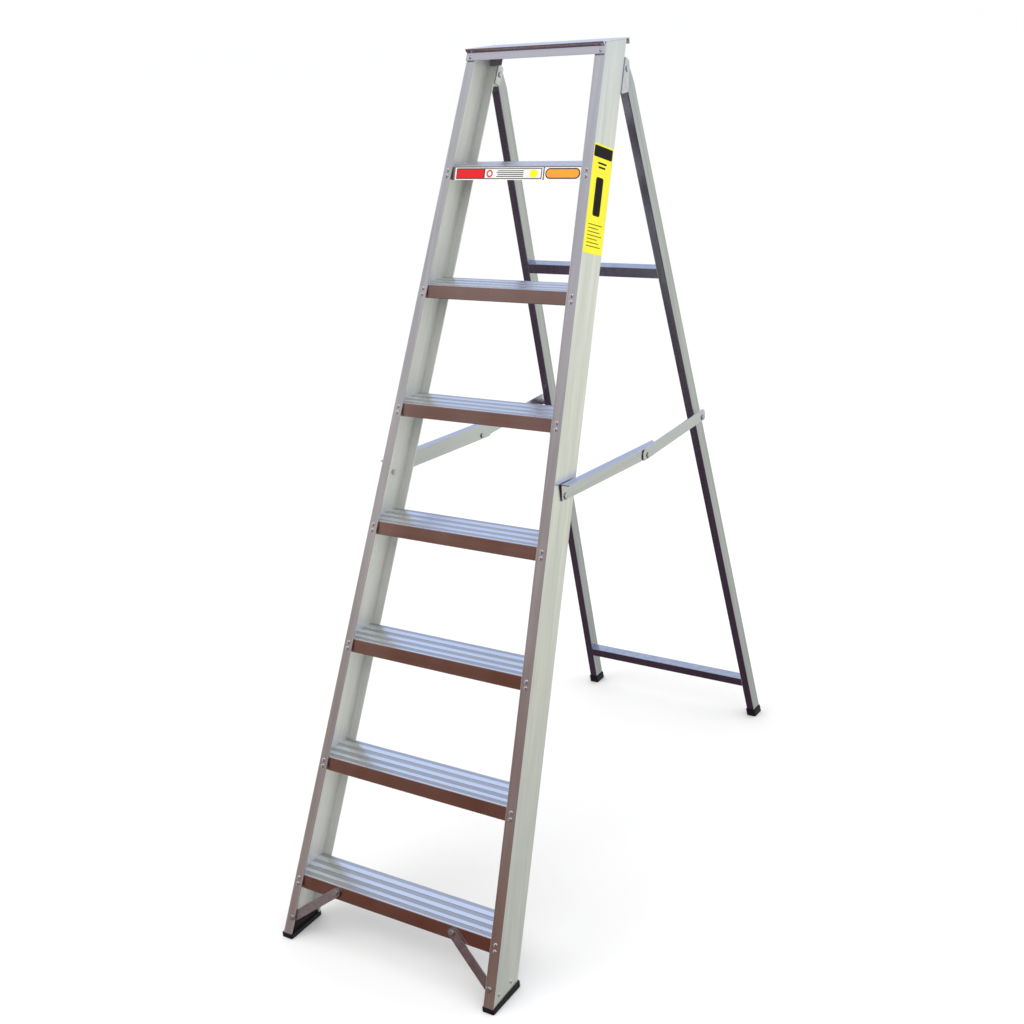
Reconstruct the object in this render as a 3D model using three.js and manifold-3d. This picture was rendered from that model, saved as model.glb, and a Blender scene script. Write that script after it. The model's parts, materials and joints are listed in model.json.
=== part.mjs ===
// Aluminium swing-back stepladder: seven treads and a top cap on two leaning stiles, held open
// by two folding stays against a pair of rear legs. Standing open, in millimetres, +Z up.
// X runs across the ladder, Y runs from the treads towards the rear legs.
import * as THREE from 'three';
import { mergeVertices } from 'three/addons/utils/BufferGeometryUtils.js';
import Module from 'manifold-3d';

const wasm = await Module();
wasm.setup();

const degrees = THREE.MathUtils.degToRad;
const GAP = 0.3;

// Front frame
const LEAN = degrees(25.58);
const SOLE_THICKNESS = 10.8;
const STILE_FOOT_Z = SOLE_THICKNESS + GAP;
const STILE_TOP_Z = 1884.5;
const STILE_HALF_WIDTH = 291.4;
const STILE_TAPER = 0.05297;
const STILE_DEPTH = 90;
const STILE_FLANGE = 25;
const WEB_THICKNESS = 2;
const FLANGE_THICKNESS = 2.2;
const BEAD = 1.2;
const FRONT_BEAD = 0.8;

// Treads
const TREAD_COUNT = 7;
const TREAD_SPACING = 250;
const FIRST_TREAD_Z = 136.6;
const TREAD_DEPTH = 91.6;
const APRON_HEIGHT = 28.7;
const APRON_LEAN = degrees(20.5);
const TREAD_WALL = 2;
const RIB_HEIGHT = 0.8;
const RIB_SIDE = 0.5;
const RIBS = [[16.5, 26.5], [39.5, 51.5], [64.5, 77.5]];
const TREAD_FRONT_W = FLANGE_THICKNESS + GAP;

// Top cap
const CAP_HALF_WIDTH = 182;
const CAP_TOP_Z = 1887.3;
const CAP_THICKNESS = 2.5;
const CAP_NOSE_Y = 884;
const CAP_REAR_Y = 1003;
const CAP_APRON_Z = 1861;
const CAP_RECESS_Z = 1877.4;
const CAP_APRON_W = -FRONT_BEAD - 0.4;

// Hinge between the front frame and the rear frame
const HINGE_Y = 981;
const HINGE_Z = 1821;
const HINGE_W = 103.4;
const HINGE_V = 2056.1;
const HINGE_HALF_WIDTH = 182.5;
const HINGE_PIN_RADIUS = 4;
const HINGE_HOLE_RADIUS = 4.3;

// Rear frame
const REAR_LEAN = degrees(13.32);
const LEG_SPLAY = Math.atan(0.04809);
const LEG_HALF_WIDTH = 180.5;
const LEG_WIDTH = 21.5;
const LEG_DEPTH = 35.4;
const LEG_WALL = 2;
const LEG_PIVOT_DEPTH = 10.3;
const LEG_FOOT_Z = 8.3;
const BRACE_TOPS_Z = { lower: 127.6, upper: 1352.6 };
const BRACE_HEIGHT = 25.4;
const BRACE_DEPTH = 24.9;
const BRACE_WALL = 2;

// Folding stays
const STAY_FRONT = { y: 513.9, z: 974.1 };
const STAY_MIDDLE = { y: 890.5, z: 949.0 };
const STAY_REAR = { y: 1187.7, z: 955.5 };
const STAY_PLATE_X = 235.2;
const STAY_PLATE_THICKNESS = 2;
const STAY_FLANGE_X = 255.6;
const STAY_BAR_X = 237.6;
const STAY_BAR_THICKNESS = 2.2;
const STAY_TOP = 29;
const STAY_BOTTOM = -8.5;
const STAY_BAR_TOP = 20.5;
const STAY_RIVET_RADIUS = 4;

// Knee braces between the stiles and the first tread
const KNEE_LOW = { x: 273.4, w: 4.4, v: 38 };
const KNEE_HIGH = { x: 160.5, w: 0.6, v: 126.5 };
const KNEE_WIDTH = 21;
const KNEE_THICKNESS = 2.5;
const KNEE_BOLT_RADIUS = 3;
const KNEE_HOLE_RADIUS = 3.3;

const FAR = 4000;

// ---- Geometry helpers ----

function solidOf(geometry) {
  const bare = geometry.clone();
  bare.deleteAttribute('normal');
  bare.deleteAttribute('uv');
  const welded = mergeVertices(bare, 1e-4);
  const source = new wasm.Mesh({
    numProp: 3,
    vertProperties: new Float32Array(welded.attributes.position.array),
    triVerts: new Uint32Array(welded.index.array),
  });
  return new wasm.Manifold(source);
}

function geometryOf(solid) {
  const mesh = solid.getMesh();
  const geometry = new THREE.BufferGeometry();
  geometry.setAttribute('position', new THREE.BufferAttribute(mesh.vertProperties, mesh.numProp));
  geometry.setIndex(new THREE.BufferAttribute(mesh.triVerts, 1));
  geometry.computeVertexNormals();
  return geometry;
}

function mirrored(geometry) {
  const indexed = geometry.index ? geometry.clone() : mergeVertices(geometry);
  indexed.scale(-1, 1, 1);
  const index = indexed.index.array;
  for (let i = 0; i < index.length; i += 3) {
    const swap = index[i];
    index[i] = index[i + 1];
    index[i + 1] = swap;
  }
  indexed.computeVertexNormals();
  return indexed;
}

// Closed outline with rounded corners. Each corner is [x, y] or [x, y, radius].
function outline(corners, steps = 4) {
  const points = [];
  corners.forEach(([x, y, radius = 0], i) => {
    const corner = new THREE.Vector2(x, y);
    if (radius === 0) {
      points.push(corner);
      return;
    }
    const before = corners[(i + corners.length - 1) % corners.length];
    const after = corners[(i + 1) % corners.length];
    const toBefore = new THREE.Vector2(before[0] - x, before[1] - y).normalize();
    const toAfter = new THREE.Vector2(after[0] - x, after[1] - y).normalize();
    const half = Math.acos(toBefore.dot(toAfter)) / 2;
    const inward = toBefore.clone().add(toAfter).normalize();
    const centre = corner.clone().addScaledVector(inward, radius / Math.sin(half));
    const start = corner.clone().addScaledVector(toBefore, radius / Math.tan(half)).sub(centre);
    const end = corner.clone().addScaledVector(toAfter, radius / Math.tan(half)).sub(centre);
    const sweep = Math.atan2(start.cross(end), start.dot(end));
    for (let step = 0; step <= steps; step += 1) {
      const arm = start.clone().rotateAround(new THREE.Vector2(), (sweep * step) / steps);
      points.push(centre.clone().add(arm));
    }
  });
  return new THREE.Shape(points);
}

// Outline drawn in X and Y, standing up along Z.
function column(shape, low, high) {
  const geometry = new THREE.ExtrudeGeometry(shape, { depth: high - low, bevelEnabled: false });
  return geometry.translate(0, 0, low);
}

// Outline drawn in Y and Z, running along X.
function beam(shape, low, high) {
  const turn = new THREE.Matrix4().makeBasis(
    new THREE.Vector3(0, 1, 0),
    new THREE.Vector3(0, 0, 1),
    new THREE.Vector3(1, 0, 0),
  );
  return column(shape, low, high).applyMatrix4(turn);
}

function box(lowX, highX, lowY, highY, lowZ, highZ) {
  const geometry = new THREE.BoxGeometry(highX - lowX, highY - lowY, highZ - lowZ);
  return geometry.translate((lowX + highX) / 2, (lowY + highY) / 2, (lowZ + highZ) / 2);
}

// Round bar along X; a second radius gives it a taper towards the high end.
function rodX(radius, low, high, y = 0, z = 0, endRadius = radius, sides = 24) {
  const geometry = new THREE.CylinderGeometry(endRadius, radius, high - low, sides);
  return geometry.rotateZ(-Math.PI / 2).translate((low + high) / 2, y, z);
}

function rodY(radius, low, high, x = 0, z = 0, endRadius = radius, sides = 24) {
  const geometry = new THREE.CylinderGeometry(endRadius, radius, high - low, sides);
  return geometry.translate(x, (low + high) / 2, z);
}

function united(...geometries) {
  return geometries.map(solidOf).reduce((whole, solid) => whole.add(solid));
}

// Moves the two ends of a crosswise piece onto the faces it reaches.
function fitEnds(geometry, halfWidthAt) {
  const position = geometry.attributes.position;
  for (let i = 0; i < position.count; i += 1) {
    const reach = halfWidthAt(position.getY(i), position.getZ(i));
    position.setX(i, Math.sign(position.getX(i)) * reach);
  }
  geometry.computeVertexNormals();
  return geometry;
}

// ---- Materials ----

const FINISHES = {
  aluminium: { color: 0xc4c8c6, roughness: 0.38, metalness: 0.9 },
  tread: { color: 0xb9c2cc, roughness: 0.42, metalness: 0.9 },
  steel: { color: 0x9fa1a3, roughness: 0.35, metalness: 0.95 },
  rubber: { color: 0x161616, roughness: 0.8, metalness: 0 },
  nylon: { color: 0x1d1d1f, roughness: 0.55, metalness: 0 },
};

function makeMesh(name, geometry, finish) {
  const mesh = new THREE.Mesh(geometry, new THREE.MeshStandardMaterial(FINISHES[finish]));
  mesh.name = name;
  return mesh;
}

// Right-hand piece and its mirror image; tilt is the lean across the ladder.
function addPair(parent, name, geometry, finish, at, tilt = 0) {
  [1, -1].forEach((side) => {
    const label = side > 0 ? `${name}_right` : `${name}_left`;
    const mesh = makeMesh(label, side > 0 ? geometry : mirrored(geometry), finish);
    mesh.position.set(side * at[0], at[1], at[2]);
    mesh.rotation.y = -side * tilt;
    parent.add(mesh);
  });
}

// ---- Frames ----

const ladder = new THREE.Group();
ladder.name = 'swing_back_stepladder';

// In the front frame Y is the depth through the stile and Z runs up the stile.
const frontFrame = new THREE.Group();
frontFrame.position.z = STILE_FOOT_Z;
frontFrame.rotation.x = -LEAN;

// In the rear frame Y is the depth through the leg and Z runs up the leg from the hinge.
const rearFrame = new THREE.Group();
rearFrame.position.set(0, HINGE_Y, HINGE_Z);
rearFrame.rotation.x = REAR_LEAN;
ladder.add(frontFrame, rearFrame);

const taperAngle = Math.atan(STILE_TAPER);
const intoFront = new THREE.Matrix4().makeRotationX(LEAN)
  .multiply(new THREE.Matrix4().makeTranslation(0, 0, -STILE_FOOT_Z));
const frontIntoStile = new THREE.Matrix4().makeRotationY(taperAngle)
  .multiply(new THREE.Matrix4().makeTranslation(-STILE_HALF_WIDTH, 0, 0));
const intoStile = frontIntoStile.clone().multiply(intoFront);
const intoLeg = new THREE.Matrix4().makeRotationY(LEG_SPLAY)
  .multiply(new THREE.Matrix4().makeTranslation(-LEG_HALF_WIDTH, LEG_PIVOT_DEPTH, 0))
  .multiply(new THREE.Matrix4().makeRotationX(-REAR_LEAN))
  .multiply(new THREE.Matrix4().makeTranslation(0, -HINGE_Y, -HINGE_Z));

// Everything between two heights above the floor, seen from inside a leaning piece.
function heightBand(lowZ, highZ, into) {
  return solidOf(box(-FAR, FAR, -FAR, FAR, lowZ, highZ).applyMatrix4(into));
}

function stileHalfWidth(v) {
  return STILE_HALF_WIDTH - STILE_TAPER * v;
}

// ---- Stiles ----

const stileSection = outline([
  [0, 0, 2.4],
  [0, STILE_DEPTH, 2.4],
  [-STILE_FLANGE, STILE_DEPTH, 0.8],
  [-STILE_FLANGE, STILE_DEPTH - FLANGE_THICKNESS - BEAD, 0.8],
  [-STILE_FLANGE + 3, STILE_DEPTH - FLANGE_THICKNESS - BEAD, 0.8],
  [-STILE_FLANGE + 4.5, STILE_DEPTH - FLANGE_THICKNESS],
  [-WEB_THICKNESS, STILE_DEPTH - FLANGE_THICKNESS, 1],
  [-WEB_THICKNESS, FLANGE_THICKNESS, 1],
  [-STILE_FLANGE, FLANGE_THICKNESS, 0.8],
  [-STILE_FLANGE, -FRONT_BEAD, 0.8],
  [-STILE_FLANGE + 2.4, -FRONT_BEAD, 0.6],
  [-STILE_FLANGE + 3.2, 0],
], 3);

const stayFrontV = (STAY_FRONT.z - STILE_FOOT_Z) * Math.cos(LEAN) + STAY_FRONT.y * Math.sin(LEAN);
const stayFrontW = STAY_FRONT.y * Math.cos(LEAN) - (STAY_FRONT.z - STILE_FOOT_Z) * Math.sin(LEAN);

function makeStile() {
  const webX = stileHalfWidth(stayFrontV);
  const stayHole = rodX(HINGE_HOLE_RADIUS, webX - 6, webX + 6, stayFrontW, stayFrontV);
  const kneeHole = rodY(KNEE_HOLE_RADIUS, -2, 4, KNEE_LOW.x, KNEE_LOW.v);
  return geometryOf(
    solidOf(column(stileSection, -200, 2300))
      .intersect(heightBand(STILE_FOOT_Z, STILE_TOP_Z, intoStile))
      .subtract(solidOf(stayHole.applyMatrix4(frontIntoStile)))
      .subtract(solidOf(kneeHole.applyMatrix4(frontIntoStile))),
  );
}

addPair(frontFrame, 'stile', makeStile(), 'aluminium', [STILE_HALF_WIDTH, 0, 0], taperAngle);

// ---- Treads ----

function treadShape() {
  const slope = Math.tan(LEAN);
  const inset = TREAD_WALL / Math.cos(LEAN);
  const apronSlope = Math.tan(APRON_LEAN);
  const apronInset = TREAD_WALL / Math.cos(APRON_LEAN);
  const valley = -RIB_HEIGHT;
  const under = valley - TREAD_WALL;
  const bottom = -APRON_HEIGHT;
  const skirt = -14;
  const corners = [[0, 0, 1.6], [5, 0], [5 + RIB_SIDE, valley]];
  RIBS.forEach(([start, end]) => {
    corners.push([start - RIB_SIDE, valley]);
    corners.push([start, 0]);
    corners.push([end, 0]);
    corners.push([end + RIB_SIDE, valley]);
  });
  corners.push(
    [TREAD_DEPTH, valley, 1.6],
    [TREAD_DEPTH + (skirt - valley) * slope, skirt],
    [TREAD_DEPTH + (skirt - valley) * slope - inset, skirt],
    [TREAD_DEPTH + (under - valley) * slope - inset, under],
    [under * apronSlope + apronInset, under],
    [(bottom + TREAD_WALL) * apronSlope + apronInset, bottom + TREAD_WALL],
    [bottom * apronSlope + apronInset + 8, bottom + TREAD_WALL],
    [bottom * apronSlope + apronInset + 8, bottom],
    [bottom * apronSlope, bottom, 1.2],
  );
  return outline(corners.reverse(), 3);
}

function makeTread(frontV, kneeHoles) {
  const tread = fitEnds(beam(treadShape(), -100, 100), (y, z) => {
    const v = frontV + y * Math.sin(LEAN) + z * Math.cos(LEAN);
    return stileHalfWidth(v) - WEB_THICKNESS - 2 * GAP;
  });
  if (!kneeHoles) {
    return tread;
  }
  return [1, -1].reduce((solid, side) => {
    const hole = rodY(KNEE_HOLE_RADIUS, -20, 20, side * KNEE_HIGH.x, KNEE_HIGH.v - frontV);
    return solid.subtract(solidOf(hole.rotateX(-LEAN)));
  }, solidOf(tread));
}

for (let k = 1; k <= TREAD_COUNT; k += 1) {
  const height = FIRST_TREAD_Z + TREAD_SPACING * (k - 1) - STILE_FOOT_Z;
  const frontV = (height + TREAD_FRONT_W * Math.sin(LEAN)) / Math.cos(LEAN);
  const geometry = k === 1 ? geometryOf(makeTread(frontV, true)) : makeTread(frontV, false);
  const tread = makeMesh(`tread_${k}`, geometry, 'tread');
  tread.position.set(0, TREAD_FRONT_W, frontV);
  tread.rotation.x = LEAN;
  frontFrame.add(tread);
}

// ---- Top cap and its clips ----

// Place, from front to back, of a face parallel to the stile front at a given height.
function stileFaceY(w, z) {
  return (z - STILE_FOOT_Z) * Math.tan(LEAN) + w / Math.cos(LEAN);
}

const apronFrontW = CAP_APRON_W - 2.2;
const capUnder = CAP_TOP_Z - CAP_THICKNESS;
const capShape = outline([
  [CAP_NOSE_Y, CAP_TOP_Z, 1],
  [CAP_NOSE_Y, CAP_TOP_Z - 3.7, 0.8],
  [stileFaceY(apronFrontW, CAP_RECESS_Z), CAP_RECESS_Z, 0.6],
  [stileFaceY(apronFrontW, CAP_APRON_Z), CAP_APRON_Z],
  [stileFaceY(CAP_APRON_W, CAP_APRON_Z), CAP_APRON_Z],
  [stileFaceY(CAP_APRON_W, CAP_RECESS_Z + 1.4), CAP_RECESS_Z + 1.4],
  [CAP_NOSE_Y + 4, capUnder],
  [CAP_REAR_Y - 2.2, capUnder],
  [CAP_REAR_Y - 2.2, CAP_TOP_Z - 14],
  [CAP_REAR_Y, CAP_TOP_Z - 14],
  [CAP_REAR_Y, CAP_TOP_Z, 1.6],
], 3);
ladder.add(makeMesh('top_cap', beam(capShape, -CAP_HALF_WIDTH, CAP_HALF_WIDTH), 'aluminium'));

const clipHeight = 42;
const clipReach = 24;
const clipWall = 2.2;
const clipW = STILE_DEPTH - FLANGE_THICKNESS - BEAD - GAP;
const clipV = (STILE_TOP_Z - STILE_FOOT_Z + clipW * Math.sin(LEAN)) / Math.cos(LEAN);
const clipShape = outline([
  [0, 0, 1.5],
  [-clipReach, 0],
  [-clipReach, -clipWall],
  [-clipWall * 1.6, -clipWall],
  [-clipHeight * Math.tan(LEAN) - clipWall / Math.cos(LEAN), -clipHeight],
  [-clipHeight * Math.tan(LEAN), -clipHeight],
], 3);
const clipOuter = stileHalfWidth(clipV) - WEB_THICKNESS - 1.2;
const clip = beam(clipShape, clipOuter - 33, clipOuter).rotateX(LEAN);
addPair(frontFrame, 'cap_clip', clip, 'steel', [0, clipW, clipV]);

// ---- Front feet: a flat sole and a plug that goes up inside the stile ----

function makeFrontFoot() {
  const sole = column(outline([
    [2.6, -2.8, 4],
    [2.6, 107, 9],
    [-27.6, 107, 9],
    [-27.6, -2.8, 4],
  ]), 0, SOLE_THICKNESS);
  const plug = column(outline([
    [-WEB_THICKNESS - GAP, FLANGE_THICKNESS + GAP, 1.5],
    [-WEB_THICKNESS - GAP, STILE_DEPTH - FLANGE_THICKNESS - GAP, 1.5],
    [-STILE_FLANGE + 5, STILE_DEPTH - FLANGE_THICKNESS - GAP],
    [-STILE_FLANGE + 5, FLANGE_THICKNESS + GAP],
  ]), -60, 80);
  const outOfStile = intoStile.clone().invert();
  const fromFootCorner = new THREE.Matrix4().makeTranslation(-STILE_HALF_WIDTH, 0, 0);
  const standing = plug.applyMatrix4(outOfStile).applyMatrix4(fromFootCorner);
  const slopingTop = beam(outline([
    [-20, SOLE_THICKNESS - 4],
    [140, SOLE_THICKNESS - 4],
    [140, 7.4],
    [-20, 37.8],
  ]), -60, 60);
  const trimmed = solidOf(standing).intersect(solidOf(slopingTop));
  return geometryOf(solidOf(sole).add(trimmed));
}

addPair(ladder, 'front_foot', makeFrontFoot(), 'rubber', [STILE_HALF_WIDTH, 0, 0]);

// ---- Knee braces ----

function addKneeBraces() {
  [1, -1].forEach((side) => {
    const label = side > 0 ? 'right' : 'left';
    const low = new THREE.Vector3(side * KNEE_LOW.x, KNEE_LOW.w, KNEE_LOW.v);
    const high = new THREE.Vector3(side * KNEE_HIGH.x, KNEE_HIGH.w, KNEE_HIGH.v);
    const along = high.clone().sub(low).normalize();
    const across = new THREE.Vector3(0, -1, 0).cross(along).normalize();
    const through = along.clone().cross(across);
    const length = low.distanceTo(high);
    const end = KNEE_WIDTH / 2;
    const bar = column(outline([
      [-end, -end, end - 0.01],
      [length + end, -end, end - 0.01],
      [length + end, end, end - 0.01],
      [-end, end, end - 0.01],
    ], 8), -KNEE_THICKNESS / 2, KNEE_THICKNESS / 2);
    const holes = [0, length].map((x) => {
      const hole = new THREE.CylinderGeometry(KNEE_HOLE_RADIUS, KNEE_HOLE_RADIUS, 20, 24);
      return solidOf(hole.rotateX(Math.PI / 2).translate(x, 0, 0));
    });
    const drilled = solidOf(bar).subtract(holes[0]).subtract(holes[1]);
    const brace = makeMesh(`knee_brace_${label}`, geometryOf(drilled), 'steel');
    brace.position.copy(low);
    brace.quaternion.setFromRotationMatrix(new THREE.Matrix4().makeBasis(along, across, through));
    frontFrame.add(brace);

    const lowBolt = united(
      rodY(KNEE_BOLT_RADIUS, -1, 7),
      rodY(5.2, -3.6, -GAP, 0, 0, 5.9),
      rodY(5.6, KNEE_LOW.w + 2, KNEE_LOW.w + 5.4, 0, 0, 5.6, 6),
    );
    const highBolt = united(
      rodY(KNEE_BOLT_RADIUS, -2, 8),
      rodY(5.4, -4.6, -1.3, 0, 0, 6.2),
      rodY(5.6, 6.7, 9.9, 0, 0, 5.6, 6),
    );
    const lower = makeMesh(`knee_bolt_lower_${label}`, geometryOf(lowBolt), 'steel');
    lower.position.set(low.x, 0, low.z);
    const upper = makeMesh(`knee_bolt_upper_${label}`, geometryOf(highBolt), 'steel');
    upper.position.set(high.x, 0, high.z);
    frontFrame.add(lower, upper);
  });
}

addKneeBraces();

// ---- Hinge brackets: folded plate on the rear flange with a cheek each side of the leg ----

const bracketWall = 2.5;
const bracketFront = STILE_DEPTH + GAP - HINGE_W;
const outerCheekX = -0.6;
const innerCheekX = -27.4;

function makeHingeBracket() {
  const outerCheek = beam(outline([
    [bracketFront, 22, 2],
    [4, 22, 8],
    [9, 8, 6],
    [16, -47, 4],
    [bracketFront, -62, 2],
  ]), outerCheekX, outerCheekX + bracketWall);
  const innerCheek = beam(outline([
    [bracketFront, 22, 2],
    [8.8, 22, 8],
    [8.8, -24, 8],
    [bracketFront, -24, 2],
  ]), innerCheekX, innerCheekX + bracketWall);
  const wall = box(
    innerCheekX + 0.2,
    outerCheekX + bracketWall - 0.2,
    bracketFront,
    bracketFront + bracketWall,
    -24,
    22,
  );
  const lowerWall = box(
    -STILE_FLANGE + 3,
    outerCheekX + bracketWall - 0.2,
    bracketFront,
    bracketFront + bracketWall,
    -60,
    -20,
  );
  const hole = rodX(HINGE_HOLE_RADIUS, -60, 60).rotateY(taperAngle);
  return geometryOf(united(outerCheek, innerCheek, wall, lowerWall).subtract(solidOf(hole)));
}

addPair(
  frontFrame,
  'hinge_bracket',
  makeHingeBracket(),
  'steel',
  [HINGE_HALF_WIDTH, HINGE_W, HINGE_V],
  taperAngle,
);

const hingePin = geometryOf(united(
  rodX(HINGE_PIN_RADIUS, -29.5, 3.4),
  rodX(7.2, 2.7, 3.5, 0, 0, 7),
  rodX(7, 3.5, 4.6, 0, 0, 4.4),
  rodX(4.4, -30.2, -29.1, 0, 0, 7),
  rodX(7, -29.1, -28.3, 0, 0, 7),
));
addPair(frontFrame, 'hinge_pin', hingePin, 'steel', [HINGE_HALF_WIDTH, HINGE_W, HINGE_V]);

// ---- Rear legs, spacers, braces and feet ----

const legSection = outline([
  [0, 0, 2],
  [0, LEG_DEPTH, 0.6],
  [-LEG_WALL, LEG_DEPTH, 0.6],
  [-LEG_WALL, LEG_WALL, 0.8],
  [-LEG_WIDTH + LEG_WALL, LEG_WALL, 0.8],
  [-LEG_WIDTH + LEG_WALL, LEG_DEPTH, 0.6],
  [-LEG_WIDTH, LEG_DEPTH, 0.6],
  [-LEG_WIDTH, 0, 2],
], 3);

function makeRearLeg() {
  const sideProfile = beam(outline([
    [-1, -2200],
    [-1, 0],
    [0, 2, 1],
    [17.5, 23.5, 3],
    [21.5, 24, 3],
    [28, 1, 8],
    [LEG_DEPTH + 1, -45, 8],
    [LEG_DEPTH + 1, -2200],
  ]), -60, 60);
  const frontCut = box(-60, 60, -4, LEG_WALL + 1, -24, 60);
  const hole = rodX(HINGE_HOLE_RADIUS, -60, 60, LEG_PIVOT_DEPTH, 0).rotateY(LEG_SPLAY);
  return geometryOf(
    solidOf(column(legSection, -2200, 60))
      .intersect(solidOf(sideProfile))
      .intersect(heightBand(LEG_FOOT_Z, FAR, intoLeg))
      .subtract(solidOf(frontCut))
      .add(sideWallFronts())
      .subtract(solidOf(hole)),
  );
}

// Above the cut front wall the two side walls carry on to the hinge.
function sideWallFronts() {
  const front = outline([
    [0.6, -24],
    [0.6, 2.6],
    [LEG_WALL + 1, 5.6],
    [LEG_WALL + 1, -24],
  ]);
  const outer = beam(front, -LEG_WALL, 0);
  const inner = beam(front, -LEG_WIDTH, -LEG_WIDTH + LEG_WALL);
  return united(outer, inner);
}

const legPlace = [LEG_HALF_WIDTH, -LEG_PIVOT_DEPTH, 0];
addPair(rearFrame, 'rear_leg', makeRearLeg(), 'aluminium', legPlace, LEG_SPLAY);

function makeHingeSpacer() {
  const low = -LEG_WIDTH + LEG_WALL + GAP;
  const high = -LEG_WALL - GAP;
  const body = united(
    rodX(9.8, low, high, LEG_PIVOT_DEPTH, 0, 9.8, 32),
    rodX(8, low, high, LEG_PIVOT_DEPTH + 10, -6, 8, 32),
  );
  const hole = rodX(HINGE_HOLE_RADIUS, -60, 60, LEG_PIVOT_DEPTH, 0).rotateY(LEG_SPLAY);
  return geometryOf(body.subtract(solidOf(hole)));
}

addPair(rearFrame, 'hinge_spacer', makeHingeSpacer(), 'nylon', legPlace, LEG_SPLAY);

const braceShape = outline([
  [0, 0, 1.4],
  [0, -BRACE_HEIGHT],
  [BRACE_WALL, -BRACE_HEIGHT],
  [BRACE_WALL, -BRACE_WALL],
  [BRACE_DEPTH, -BRACE_WALL],
  [BRACE_DEPTH, 0],
], 3);

Object.entries(BRACE_TOPS_Z).forEach(([label, topZ]) => {
  const drop = (topZ - HINGE_Z + LEG_PIVOT_DEPTH * Math.sin(REAR_LEAN)) / Math.cos(REAR_LEAN);
  const geometry = fitEnds(beam(braceShape, -100, 100), (y, z) => {
    const toInnerFace = LEG_WIDTH / Math.cos(LEG_SPLAY) + GAP;
    return LEG_HALF_WIDTH - Math.tan(LEG_SPLAY) * (drop + z) - toInnerFace;
  });
  const brace = makeMesh(`rear_brace_${label}`, geometry, 'aluminium');
  brace.position.set(0, -LEG_PIVOT_DEPTH, drop);
  rearFrame.add(brace);
});

function makeRearFoot() {
  const wall = 2.5;
  const shell = solidOf(column(outline([
    [wall, -wall, 3],
    [wall, LEG_DEPTH + wall, 3],
    [-LEG_WIDTH - wall, LEG_DEPTH + wall, 3],
    [-LEG_WIDTH - wall, -wall, 3],
  ]), -2000, 60));
  const pocket = box(-LEG_WIDTH - GAP, GAP, -GAP, LEG_DEPTH + GAP, -2000, 60);
  const core = box(
    -LEG_WIDTH + LEG_WALL + GAP,
    -LEG_WALL - GAP,
    LEG_WALL + GAP,
    LEG_DEPTH - 1,
    -2000,
    60,
  );
  const hollow = solidOf(pocket).subtract(solidOf(core));
  const leaning = shell.intersect(heightBand(0, 21, intoLeg));
  return geometryOf(leaning.subtract(hollow.intersect(heightBand(LEG_FOOT_Z - GAP, 40, intoLeg))));
}

addPair(rearFrame, 'rear_foot', makeRearFoot(), 'rubber', legPlace, LEG_SPLAY);

// ---- Folding stays ----

const frontArmLength = Math.hypot(STAY_MIDDLE.y - STAY_FRONT.y, STAY_MIDDLE.z - STAY_FRONT.z);
const rearArmLength = Math.hypot(STAY_REAR.y - STAY_MIDDLE.y, STAY_REAR.z - STAY_MIDDLE.z);
const frontArmAngle = Math.atan2(STAY_MIDDLE.z - STAY_FRONT.z, STAY_MIDDLE.y - STAY_FRONT.y);
const rearArmAngle = Math.atan2(STAY_REAR.z - STAY_MIDDLE.z, STAY_REAR.y - STAY_MIDDLE.y);

const frontArmGroup = new THREE.Group();
frontArmGroup.position.set(0, STAY_FRONT.y, STAY_FRONT.z);
frontArmGroup.rotation.x = frontArmAngle;

const rearArmGroup = new THREE.Group();
rearArmGroup.position.set(0, STAY_MIDDLE.y, STAY_MIDDLE.z);
rearArmGroup.rotation.x = rearArmAngle;
ladder.add(frontArmGroup, rearArmGroup);

function makeFrontArm() {
  const tip = frontArmLength + 40;
  const plate = beam(outline([
    [-15.4, STAY_BOTTOM, 1.5],
    [tip, STAY_BOTTOM, 8],
    [tip - 9, STAY_TOP, 4],
    [-15.4, STAY_TOP],
  ]), STAY_PLATE_X, STAY_PLATE_X + STAY_PLATE_THICKNESS);
  const flange = column(outline([
    [STAY_PLATE_X, -15.4],
    [STAY_FLANGE_X, -15.4, 1.5],
    [STAY_FLANGE_X, frontArmLength + 8, 2],
    [STAY_PLATE_X + STAY_PLATE_THICKNESS, tip - 12],
    [STAY_PLATE_X, tip - 12],
  ]), STAY_TOP - STAY_PLATE_THICKNESS, STAY_TOP);
  const holes = [0, frontArmLength].map((y) => rodX(HINGE_HOLE_RADIUS, 230, 245, y, 0));
  return geometryOf(
    united(plate, flange).subtract(solidOf(holes[0])).subtract(solidOf(holes[1])),
  );
}

function makeRearArm() {
  const tail = 24.5;
  const bar = beam(outline([
    [-tail, STAY_BOTTOM, 8],
    [rearArmLength + 15.5, STAY_BOTTOM, 8],
    [rearArmLength + 15.5, STAY_BAR_TOP, 14],
    [-tail, STAY_BAR_TOP, 17],
  ], 6), STAY_BAR_X, STAY_BAR_X + STAY_BAR_THICKNESS);
  const sweep = rodX(25, 230, 250, 0, 0, 25, 48);
  const beyond = box(230, 250, 0, 400, -60, 60);
  const holes = [0, rearArmLength].map((y) => rodX(HINGE_HOLE_RADIUS, 230, 250, y, 0));
  const trimmed = solidOf(bar).intersect(united(sweep, beyond));
  return geometryOf(trimmed.subtract(solidOf(holes[0])).subtract(solidOf(holes[1])));
}

// Domed head that closes a rivet on its outer side.
function rivetHead(start, radius = 7.5) {
  return united(
    rodX(radius, start, start + 1.4, 0, 0, radius * 0.96),
    rodX(radius * 0.96, start + 1.3, start + 3, 0, 0, radius * 0.6),
  );
}

const plateOuter = STAY_PLATE_X + STAY_PLATE_THICKNESS;
const barOuter = STAY_BAR_X + STAY_BAR_THICKNESS;

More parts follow.
